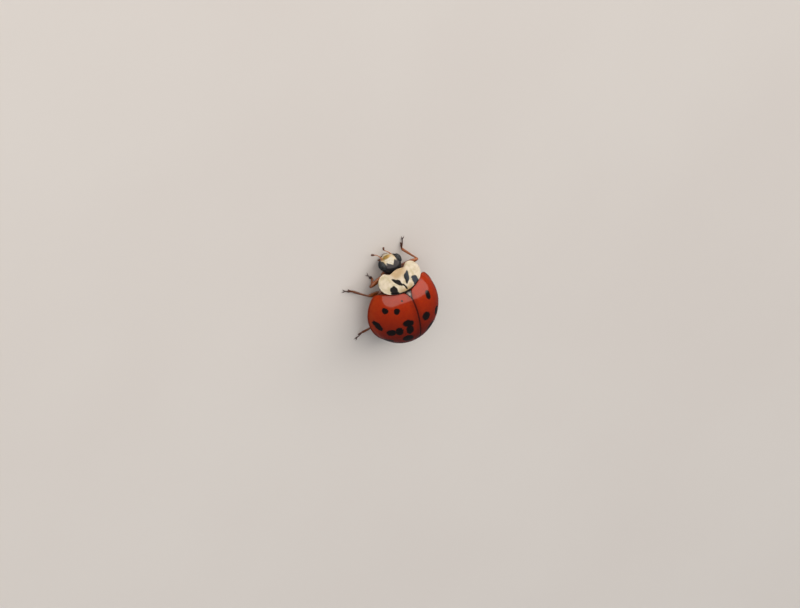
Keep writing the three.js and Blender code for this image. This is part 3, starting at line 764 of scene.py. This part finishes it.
def head(material):
    """The head capsule with its lip, jaws and palps."""
    capsule = joined("capsule", [ball(place, axes, 48, 32) for place, axes in HEAD_SWELLS])
    finish_with(capsule, "REMESH", mode="VOXEL", voxel_size=0.02)
    finish_with(capsule, "SMOOTH", factor=0.6, iterations=14)

    def carved(x, y, z):
        out = 0.0
        if z > 0:
            groove = ridge_at(y, 0.06 * math.cos(x * 4) - 0.46, 0.035)  # above the lip
            out -= 0.025 * groove * step(0.45 - abs(x), 0, 0.1)
            out -= 0.07 * bump_at(abs(x), y, 0.42, -0.4, 0.09, 0.08)  # feeler sockets
            out -= 0.02 * bump_at(x, y, 0, -0.05, 0.3, 0.25)  # the flat of the face
        from_eye = ((at - eye) / half for at, eye, half in zip((abs(x), y, z), EYE_PLACE, EYE_AXES))
        rim = 0.018 * ridge_at(math.hypot(*from_eye), 1.16, 0.07)  # a ring round the eye
        return (x + math.copysign(rim * 0.4, x), y, z + out + (rim if z > 0 else 0))

    toned(formed(capsule, carved), 0.0)

    lip = ball((0, -0.75, 0.0), (0.29, 0.11, 0.07), 32, 16)
    toned(formed(lip, lambda x, y, z: (x, y - 0.04 * (1 - (x / 0.29) ** 2) + 0.03, z)), 0.8)
    jaw = turned(JAW, sides=10)
    toned(jaw, lambda at: 0.9 - 0.5 * at.z)
    link = turned(PALP_LINK, sides=10)
    toned(link, 0.9)
    hatchet = turned(PALP_HATCHET, sides=14)
    toned(hatchet, lambda at: 1.0 if at.z < 0.8 else 0.6)
    parts = [capsule, lip]
    for hand in (1, -1):
        mirror = Matrix.Diagonal((hand, 1, 1, 1))

        def set_part(model, start, end, width=1.0, top=UP):
            parts.append(moved(aimed(twin(model), start, end, top, width), mirror))

        set_part(jaw, (0.3, -0.6, -0.12), (0.05, -0.86, -0.12))
        for start, end, width in PALP_LINKS:
            set_part(link, start, end, width)
        set_part(hatchet, (0.44, -0.56, -0.31), (0.42, -0.76, -0.27), 0.75, top=(0.3, 0, 1))
    for model in (jaw, link, hatchet):
        bpy.data.objects.remove(model)
    piece = tidy(moved(joined("head", parts), HEAD_SET), merge=1e-5)
    return settle(piece, "head_capsule", material, "horn_black", "head")


def new_shape_nodes(name):
    """An empty geometry node group, with the node that its shape comes in by."""
    tree = bpy.data.node_groups.new(name, "GeometryNodeTree")
    tree.interface.new_socket("Geometry", in_out="INPUT", socket_type="NodeSocketGeometry")
    tree.interface.new_socket("Geometry", in_out="OUTPUT", socket_type="NodeSocketGeometry")
    return tree, add(tree, "NodeGroupInput").outputs["Geometry"]


def eye(hand, material):
    """A compound eye: six-sided lenses, each raised a little out of the one surface."""
    bpy.ops.mesh.primitive_ico_sphere_add(subdivisions=5, radius=1)
    piece = bpy.context.object
    tree, shape = new_shape_nodes("lens_cells")
    cells = add(tree, "GeometryNodeDualMesh", {"Mesh": shape})
    add(tree, "NodeGroupOutput", {"Geometry": cells.outputs["Dual Mesh"]})
    finish_with(piece, "NODES", node_group=tree)
    with editing(piece):
        bpy.ops.mesh.inset(thickness=0.011, use_individual=True)
        bpy.ops.transform.shrink_fatten(value=0.012)
    socket = Matrix.Translation((EYE_PLACE.x * hand, EYE_PLACE.y, EYE_PLACE.z))
    moved(piece, HEAD_SET @ socket @ Matrix.Diagonal((*EYE_AXES, 1)))
    name = "left" if hand > 0 else "right"
    return settle(piece, f"compound_eye_{name}", material, "eye", f"eye_{name}")


# ---- Antennae ----

# Places from root to tip.
FEELERS = {
    "left": [
        (0.42, -3.93, -0.52), (0.45, -4.2, -0.72), (0.62, -4.44, -0.86), (0.86, -4.6, -0.89),
        (1.04, -4.72, -0.89),
    ],
    "right": [
        (-0.42, -3.93, -0.52), (-0.33, -4.2, -0.72), (-0.12, -4.42, -0.86), (0.01, -4.58, -0.89),
        (-0.03, -4.78, -0.89),
    ],
}
# The eleven links from the root, as (length, half width, darkness).
FEELER_LINKS = [
    (0.2, 0.06, 0.3), (0.1, 0.048, 0.25), (0.13, 0.034, 0.15), (0.085, 0.032, 0.15), (0.085, 0.032, 0.15),
    (0.08, 0.033, 0.2), (0.08, 0.035, 0.25), (0.08, 0.04, 0.4), (0.11, 0.07, 0.85), (0.11, 0.092, 1.0),
    (0.13, 0.085, 1.0),
]
FEELER_LINK = [(0, 0.55, 0.55), (0.12, 0.8, 0.8), (0.75, 1, 1), (1, 0.72, 0.72)]
FEELER_OVERLAP = 1.12  # each link reaches this many times its length, so that it runs into the next


def antenna(name, material):
    """Eleven links that end in a club of three."""
    model = turned(FEELER_LINK, sides=10)
    total = sum(length for length, _, _ in FEELER_LINKS)
    done = 0
    links = []
    for length, width, tone in FEELER_LINKS:
        start = smooth_line(FEELERS[name], done / total)
        done += length
        end = smooth_line(FEELERS[name], done / total)
        reach = start + (end - start) * FEELER_OVERLAP
        links.append(toned(aimed(twin(model), start, reach, width=width), tone))
    bpy.data.objects.remove(model)
    piece = joined("feeler", links)
    grow_hairs(piece, density=260, length=0.035, width=0.0035, lean=(0.2, -0.6, -0.2), seed=3)
    return settle(piece, f"feeler_{name}", material, "limb", f"antenna_{name}")


def grow_hairs(piece, density, length, width, lean, seed):
    """Adds short stiff hairs to a piece, as many to the square millimetre as density, leaning one way."""
    tree, shape = new_shape_nodes("hairs")
    points = add(
        tree, "GeometryNodeDistributePointsOnFaces", {"Mesh": shape, "Density": float(density), "Seed": seed},
    )
    hair = add(
        tree, "GeometryNodeMeshCone",
        {"Vertices": 3, "Radius Top": width * 0.2, "Radius Bottom": width, "Depth": length},
    )
    way = add(tree, "ShaderNodeVectorMath", {0: points.outputs["Normal"], 1: lean}, operation="ADD")
    turn = add(tree, "FunctionNodeAlignRotationToVector", {"Vector": way}, axis="Z")
    hairs = add(
        tree, "GeometryNodeInstanceOnPoints",
        {"Points": points.outputs["Points"], "Instance": hair.outputs["Mesh"], "Rotation": turn},
    )
    solid = add(tree, "GeometryNodeRealizeInstances", {"Geometry": hairs.outputs["Instances"]})
    both = add(tree, "GeometryNodeJoinGeometry")
    tree.links.new(solid.outputs["Geometry"], both.inputs["Geometry"])
    tree.links.new(shape, both.inputs["Geometry"])
    add(tree, "NodeGroupOutput", {"Geometry": both.outputs["Geometry"]})
    return finish_with(piece, "NODES", node_group=tree)


# ---- Legs ----

# Hip, knee, ankle, toe joint and foot end of each leg.
LEGS = {
    "front_left": [
        (0.52, -2.84, -0.5), (1.9, -2.45, -0.42), (1.27, -2.48, -1.06), (1.4, -2.68, -1.15),
        (1.53, -2.9, -1.19),
    ],
    "front_right": [
        (-0.52, -2.84, -0.5), (-2.22, -2.76, -0.26), (-1.51, -3.66, -1.05), (-1.68, -4.12, -1.15),
        (-1.79, -4.36, -1.19),
    ],
    "middle_left": [
        (0.85, -1.35, -0.58), (2.2, -1.85, -0.36), (3.01, -2.34, -1.06), (3.37, -2.56, -1.15),
        (3.61, -2.68, -1.19),
    ],
    "middle_right": [
        (-0.85, -1.35, -0.58), (-2.15, -0.95, -0.36), (-2.62, -0.2, -1.06), (-2.86, -0.04, -1.15),
        (-3.04, 0.1, -1.19),
    ],
    "hind_left": [
        (0.72, 0.1, -0.72), (2.1, 1.0, -0.42), (2.98, 1.62, -1.06), (3.25, 1.8, -1.15), (3.45, 1.92, -1.19),
    ],
    "hind_right": [
        (-0.72, 0.1, -0.72), (-1.9, 1.0, -0.47), (-2.3, 1.75, -1.06), (-2.46, 1.98, -1.15),
        (-2.58, 2.18, -1.19),
    ],
}
# Each hip's half length across the body and its half width. The hind hips are the longest.
HIPS = {"front": (0.27, 0.2), "middle": (0.27, 0.2), "hind": (0.44, 0.17)}
# How dark the links are. The front shins are the palest, and the middle and hind shins are darker as painted
# shade.
SHIN_TONES = {"front": 0.4, "middle": 0.8, "hind": 0.75}
LINK_TONES = {
    "hip": 0.45, "knuckle": 0.5, "pad": 0.95, "lobe": 1.05, "spur": 0.8, "claw_bone": 1.05, "claw": 1.1,
}
# Each link's sides, and its stations as turned() reads them. It is drawn upwards and one long, because where
# the legs differ is their reach.
LEG_LINKS = {
    "hip": (18, [
        (0, 0.45, 0.45), (0.12, 0.8, 0.8), (0.38, 1.04, 1.04), (0.66, 0.98, 0.98),
        (0.84, 0.8, 0.8), (0.88, 0.7, 0.7), (0.93, 0.74, 0.74), (1, 0.5, 0.5),
    ]),
    "knuckle": (16, [
        (0, 0.6, 0.6), (0.2, 0.9, 0.9), (0.5, 1.05, 1, 0, 0.06), (0.74, 0.98, 0.95, 0, 0.06),
        (0.8, 0.84, 0.82), (1, 0.75, 0.75),
    ]),
    "thigh": (16, [
        (0, 0.07, 0.08), (0.06, 0.12, 0.11), (0.22, 0.165, 0.14, 0, 0.01),
        (0.48, 0.19, 0.15, 0, 0.02), (0.72, 0.17, 0.135, 0, 0.01), (0.9, 0.125, 0.11),
        (0.98, 0.095, 0.09), (1.03, 0.05, 0.05),
    ]),
    "shin": (14, [
        (-0.03, 0.045, 0.045), (0.02, 0.075, 0.07), (0.08, 0.06, 0.058, 0, 0.01),
        (0.25, 0.066, 0.06, 0, 0.03), (0.5, 0.078, 0.068, 0, 0.035), (0.78, 0.095, 0.078, 0, 0.02),
        (0.95, 0.104, 0.085), (1.0, 0.08, 0.07),
    ]),
    "pad": (12, [
        (0, 0.035, 0.035), (0.12, 0.055, 0.05), (0.5, 0.075, 0.055, 0, -0.01),
        (0.88, 0.105, 0.055, 0, -0.025), (1.0, 0.085, 0.04, 0, -0.035),
    ]),
    "lobe": (10, [
        (0, 0.03, 0.03), (0.2, 0.05, 0.04), (0.7, 0.065, 0.04, 0, -0.02), (1.0, 0.04, 0.025, 0, -0.03),
    ]),
    "claw_bone": (10, [
        (0, 0.028, 0.028), (0.3, 0.032, 0.032, 0, 0.025), (0.7, 0.038, 0.038, 0, 0.03),
        (0.95, 0.05, 0.045, 0, 0.0), (1.02, 0.03, 0.03),
    ]),
    "claw": (8, [
        (0, 0.03, 0.03), (0.25, 0.03, 0.034, 0, 0.03), (0.5, 0.022, 0.026, 0, 0.035),
        (0.75, 0.014, 0.016, 0, 0.01), (0.92, 0.008, 0.009, 0, -0.03), (1, 0.003, 0.003, 0, -0.06),
    ]),
    "spur": (6, [(0, 0.014, 0.014), (0.6, 0.01, 0.01), (1, 0.002, 0.002)]),
}
KNUCKLE_SPAN = (0.07, 0.27)  # shares of the way from hip to knee
THIGH_START = 0.2  # on the same way
PAD_SHARE = 0.62  # of the way from ankle to toe
LINK_OVERLAP = 0.04  # how far a link starts back inside the one before it
LOBE_SPREAD, SPUR_SPREAD, CLAW_SPREAD = 0.085, 0.08, 0.1
SPUR_REACH, CLAW_REACH = 0.12, 0.24
TOOTH_SHARE = 0.42  # of the claw's length
CLAW_TIP_HEIGHT = 0.075  # above the floor
FLOOR_GIVE = 0.02  # how far above the floor a foot begins to flatten


def pressed(height):
    """A height, or where that is near or below the floor, one that is squeezed in just above it."""
    if height > FLOOR + FLOOR_GIVE:
        return height
    return FLOOR + FLOOR_GIVE * math.exp((height - FLOOR) / FLOOR_GIVE - 1)


def leg(name, models, material):
    """Hip, its knuckle, thigh, shin, two padded foot links with the lobes of the second, and two claws."""
    hip, knee, ankle, toe, end = (Vector(joint) for joint in LEGS[name])
    pair = name.split("_")[0]
    parts = []

    def link(model, start, end, width=1.0, tone=None):
        part = aimed(twin(models[model]), start, end, width=width)
        parts.append(toned(part, LINK_TONES[model] if tone is None else tone))

    hip_long, hip_wide = HIPS[pair]
    across = Vector((math.copysign(hip_long, hip.x), 0, 0))
    link("hip", hip - across, hip + across, hip_wide)
    link("knuckle", *(hip.lerp(knee, share) for share in KNUCKLE_SPAN), width=0.125)
    link("thigh", hip.lerp(knee, THIGH_START), knee, tone=lambda at: 0.35 + 0.25 * math.sin(at.x * 2 + at.y))
    link("shin", knee, ankle, tone=SHIN_TONES[pair])
    forward = (toe - ankle).normalized()
    side = UP.cross(forward).normalized()
    pad_end = ankle.lerp(toe, PAD_SHARE)
    link("pad", ankle - forward * LINK_OVERLAP, pad_end)
    for outwards in (side, -side):
        lobe_root = pad_end - forward * LINK_OVERLAP + outwards * 0.03
        link("lobe", lobe_root, toe + outwards * LOBE_SPREAD - UP * 0.01)
        spur_root = ankle.lerp(knee, 0.03) + outwards * 0.07
        link("spur", spur_root, ankle + forward * SPUR_REACH + outwards * SPUR_SPREAD)
    link("claw_bone", pad_end + UP * 0.02, end)
    ahead = Vector((end.x - toe.x, end.y - toe.y, 0)).normalized()
    for outwards in (side, -side):
        root = end - ahead * 0.02 + outwards * 0.02
        tip = root + ahead * CLAW_REACH + outwards * CLAW_SPREAD
        tip.z = FLOOR + CLAW_TIP_HEIGHT
        link("claw", root, tip)
        link("claw", root, root.lerp(tip, TOOTH_SHARE) - UP * 0.03, width=0.9)  # the tooth at its root
    piece = joined(name, parts)
    lean = tuple((ankle - knee).normalized() * 0.8)
    grow_hairs(piece, density=70, length=0.07, width=0.0045, lean=lean, seed=len(name))
    formed(piece, lambda x, y, z: (x, y, pressed(z)))
    return settle(piece, f"leg_{name}_links", material, "limb", f"leg_{name}")


# ---- Underside ----

BELLY_DEPTH = 0.72
BELLY_HALF_WIDTH = 2.48
BELLY_REAR = 2.86
BELLY_FRONT = 2.1
OVAL_FRONT = 2.45  # where the underside's oval would end if the front breast didn't cut it short
BELLY_ROOF = 0.12  # the top of the underside, above the rim
PLATE_THICK = 0.12
WAIST = 0.45  # where the belly's bands begin
BANDS = 5
TRUNK_HALF_WIDTH = 2.4
TRUNK_FRONT, TRUNK_REAR = 2.7, 2.5
TRUNK_HEIGHT, TRUNK_DEPTH = 2.02, 0.3
TRUNK_CUT_Y = -1.97  # it ends flat, behind the base of the wing cases


def oval_length(y):
    """How far the underside's oval reaches, behind the middle or in front of it."""
    return BELLY_REAR if y > 0 else OVAL_FRONT


def belly_drop(x, y):
    """How far the underside hangs below the rim."""
    reach = min(1, math.hypot(x / (BELLY_HALF_WIDTH + 0.05), y / oval_length(y)))
    return BELLY_DEPTH * (1 - reach**2.4)


def body_core():
    """The trunk under the wing cases and its waist: seen only behind the neck shield."""
    trunk = ball((0, 0, 0), (1, 1, 1), 64, 40)

    def place(x, y, z):
        long = TRUNK_FRONT if y < 0 else TRUNK_REAR
        high = TRUNK_HEIGHT if z > 0 else TRUNK_DEPTH
        return (TRUNK_HALF_WIDTH * x, max(y * long, TRUNK_CUT_Y), 0.02 + high * z)

    waist = ball((0, -2.08, 0.1), (1.05, 0.32, 0.5), 48, 32)
    return toned(tidy(joined("core", [formed(trunk, place), waist])), 0.9)


def from_rim(x, y):
    """0 at the edge of the underside and 1 well inside it."""
    return step(1 - math.hypot(x / BELLY_HALF_WIDTH, y / oval_length(y)), 0.02, 0.14)


def underside(name, first, last, material, slot, node, sculpt, tone, *more):
    """A closed plate that fills the rim between two places along the body, sculpted below."""
    bpy.ops.mesh.primitive_grid_add(x_subdivisions=150, y_subdivisions=150, size=2)
    piece = bpy.context.object

    def place(grid_x, grid_y, _):
        y = first + (last - first) * (grid_y + 1) / 2
        x = grid_x * BELLY_HALF_WIDTH * math.sqrt(max(0.0, 1 - (y / oval_length(y)) ** 2))
        return (x, y, BELLY_ROOF - belly_drop(x, y) - sculpt(x, y) * from_rim(x, y))

    formed(piece, place)
    tidy(piece)
    toned(piece, lambda at: tone(at.x, at.y))
    finish_with(piece, "SOLIDIFY", thickness=PLATE_THICK, offset=1)
    tidy(piece, merge=1e-5)
    grow_hairs(piece, density=45, length=0.05, width=0.004, lean=(0, 0.9, 0), seed=11)
    if more:
        piece = joined(name, [piece, *more])
    return settle(piece, name, material, slot, node)


def band_place(x, y):
    """How far back through the belly's bands a place is: its whole part is the band."""
    bowed = y + 0.12 * (x / BELLY_HALF_WIDTH) ** 2
    return (bowed - WAIST) / (BELLY_REAR - WAIST - 0.1) * BANDS


def belly_sculpt(x, y):
    """Each band's hind edge lies over the next, and a curved line runs behind each hind hip on the first."""
    share = band_place(x, y) % 1.0
    overlap = 0.045 * share * step(share, 1.0, 0.93)
    line = ridge_at(math.hypot((abs(x) - 0.95) / 0.75, (y - 0.35) / 0.5), 1, 0.03) if y > 0.5 else 0.0
    return overlap - 0.02 * line


def thorax_sculpt(x, y):
    """The breast plates: a middle line, and seams between them."""
    depth = ridge_at(x, 0, 0.03) * step(y, -0.9, -0.7)
    for seam in (-1.75, -1.02, 0.12):
        depth += ridge_at(y, seam + 0.08 * math.cos(x * 2.2), 0.025)
    return -0.05 * depth


def neck_block(material):
    """The front breast under the neck shield, with its keel between the front hips."""
    piece = ball((0, -2.78, 0.02), (1.18, 0.62, 0.6), 96, 64)

    def place(x, y, z):
        keel = 0.05 * ridge_at(abs(x), 0.1, 0.03) * step(-y, 2.3, 2.6) if z < 0 else 0.0
        top = shield_height(x, y) - 0.3
        narrow = 1 - 0.4 * step(-y, 2.75, 3.4)
        raised = z + 1.2 * z * z / (z + 0.2) if z > 0 else z
        return (x * narrow, y, min(raised, top) - keel)

    toned(formed(piece, place), 0.9)
    grow_hairs(piece, density=40, length=0.05, width=0.004, lean=(0, 0.6, 0), seed=5)
    return settle(tidy(piece, merge=1e-5), "front_breast", material, "horn_black", "prothorax")


# ---- Floor, light and camera ----

FLOOR_METRES = 3


def stage():
    """A pale floor in a soft room, a wide window in front and a fill from behind.

    The floor and the fill are kept out of the gloss, so that only the window shows in it.
    """
    bpy.ops.mesh.primitive_plane_add(size=FLOOR_METRES)
    floor = bpy.context.object
    floor.name = floor.data.name = "floor"
    floor.data.materials.append(board_finish())
    floor.visible_glossy = False

    world = bpy.data.worlds.new("soft_room")
    bpy.context.scene.world = world
    world.use_nodes = True
    world.node_tree.nodes.clear()
    glow = add(world.node_tree, "ShaderNodeBackground", {"Color": hex_colour("eef1f6"), "Strength": 0.17})
    add(world.node_tree, "ShaderNodeOutputWorld", {"Surface": glow})

    def soft_box(name, direction, distance_mm, size_mm, brightness, tint, glossy=True):
        light = bpy.data.lights.new(name, "AREA")
        light.shape = "ELLIPSE"
        light.size, light.size_y = size_mm[0] * MM, size_mm[1] * MM
        area = math.pi / 4 * light.size * light.size_y
        light.energy = brightness * math.pi * area
        light.color = hex_colour(tint)[:3]
        lamp = bpy.data.objects.new(name, light)
        bpy.context.scene.collection.objects.link(lamp)
        lamp.location = MIDDLE + Vector(direction).normalized() * distance_mm * MM
        lamp.rotation_euler = (MIDDLE - lamp.location).to_track_quat("-Z", "Y").to_euler()
        lamp.visible_camera = False
        lamp.visible_glossy = glossy

    soft_box("window", (-0.273, -0.913, 0.302), 300, (1800, 690), 2.42, "fff2e8")
    soft_box("back_fill", (0.3, 0.8, 0.6), 500, (900, 500), 0.5, "f6f8ff", glossy=False)


TOWARDS_CAMERA = Vector((0.34401188, -0.64953628, 0.6780549))
VIEW_RIGHT = Vector((-0.81419092, 0.15334884, 0.55997971))
VIEW_UP = TOWARDS_CAMERA.cross(VIEW_RIGHT)


def camera():
    """Looks down at the head from in front and the left, and is turned with the animal."""
    pixels_per_mm = 13.85
    lens, sensor, frame_width = 180, 36, 800
    distance = frame_width * lens / sensor / pixels_per_mm
    aim = VIEW_RIGHT * -0.028 - VIEW_UP * 0.045  # millimetres off the animal's middle
    data = bpy.data.cameras.new("camera")
    data.lens, data.sensor_width = lens, sensor
    data.clip_start, data.clip_end = 0.001, 10
    eye_point = bpy.data.objects.new("camera", data)
    bpy.context.scene.collection.objects.link(eye_point)
    axes = Matrix((VIEW_RIGHT, VIEW_UP, TOWARDS_CAMERA)).transposed().to_4x4()
    eye_point.matrix_world = Matrix.Translation(MIDDLE + (aim + TOWARDS_CAMERA * distance) * MM) @ axes
    bpy.context.scene.camera = eye_point
    bpy.context.scene.view_settings.view_transform = "Standard"


stage()
camera()

red_chitin = wing_case_finish()
ivory_chitin = shield_finish()
face_chitin = face_finish()
cornea = eye_finish()
# The scutellum's chitin is thick, black and polished; its pale middle is a painted glint. That of the legs
# and feelers is thin, so it glows amber where it is pale, and that of the belly is softer, red-brown and
# satin.
scutellum_chitin_painted_glint = toned_chitin("glossy_black_scutellum_painted_glint", "9c978e", "0d0b0c", 0.24, coat=0.3)
leg_chitin = toned_chitin("reddish_leg_chitin", "a05a26", "2c0e06", 0.34, spacing=0.04, depth=0.003)
feeler_chitin = toned_chitin("amber_feeler_chitin", "b8701f", "340a04", 0.34, spacing=0.03, depth=0.002)
belly_chitin = toned_chitin("red_brown_belly_chitin", "9a4a1c", "24100a", 0.36)

for hand in (1, -1):  # left and right
    wing_case(hand, red_chitin)
scutellum(scutellum_chitin_painted_glint)
neck_shield(ivory_chitin)
head(face_chitin)
for hand in (1, -1):
    eye(hand, cornea)
for side_name in FEELERS:
    antenna(side_name, feeler_chitin)
models = {name: turned(stations, sides) for name, (sides, stations) in LEG_LINKS.items()}
for leg_name in LEGS:
    leg(leg_name, models, leg_chitin)
for model in models.values():
    bpy.data.objects.remove(model)
underside(
    "breast_plates", -BELLY_FRONT, WAIST, belly_chitin, "horn_black", "thorax", thorax_sculpt,
    lambda x, y: 0.75, body_core(),
)
underside(
    "belly_bands", WAIST, BELLY_REAR, belly_chitin, "belly", "abdomen", belly_sculpt,
    lambda x, y: 0.7 * ridge_at(x, 0, 0.9),
)
neck_block(belly_chitin)
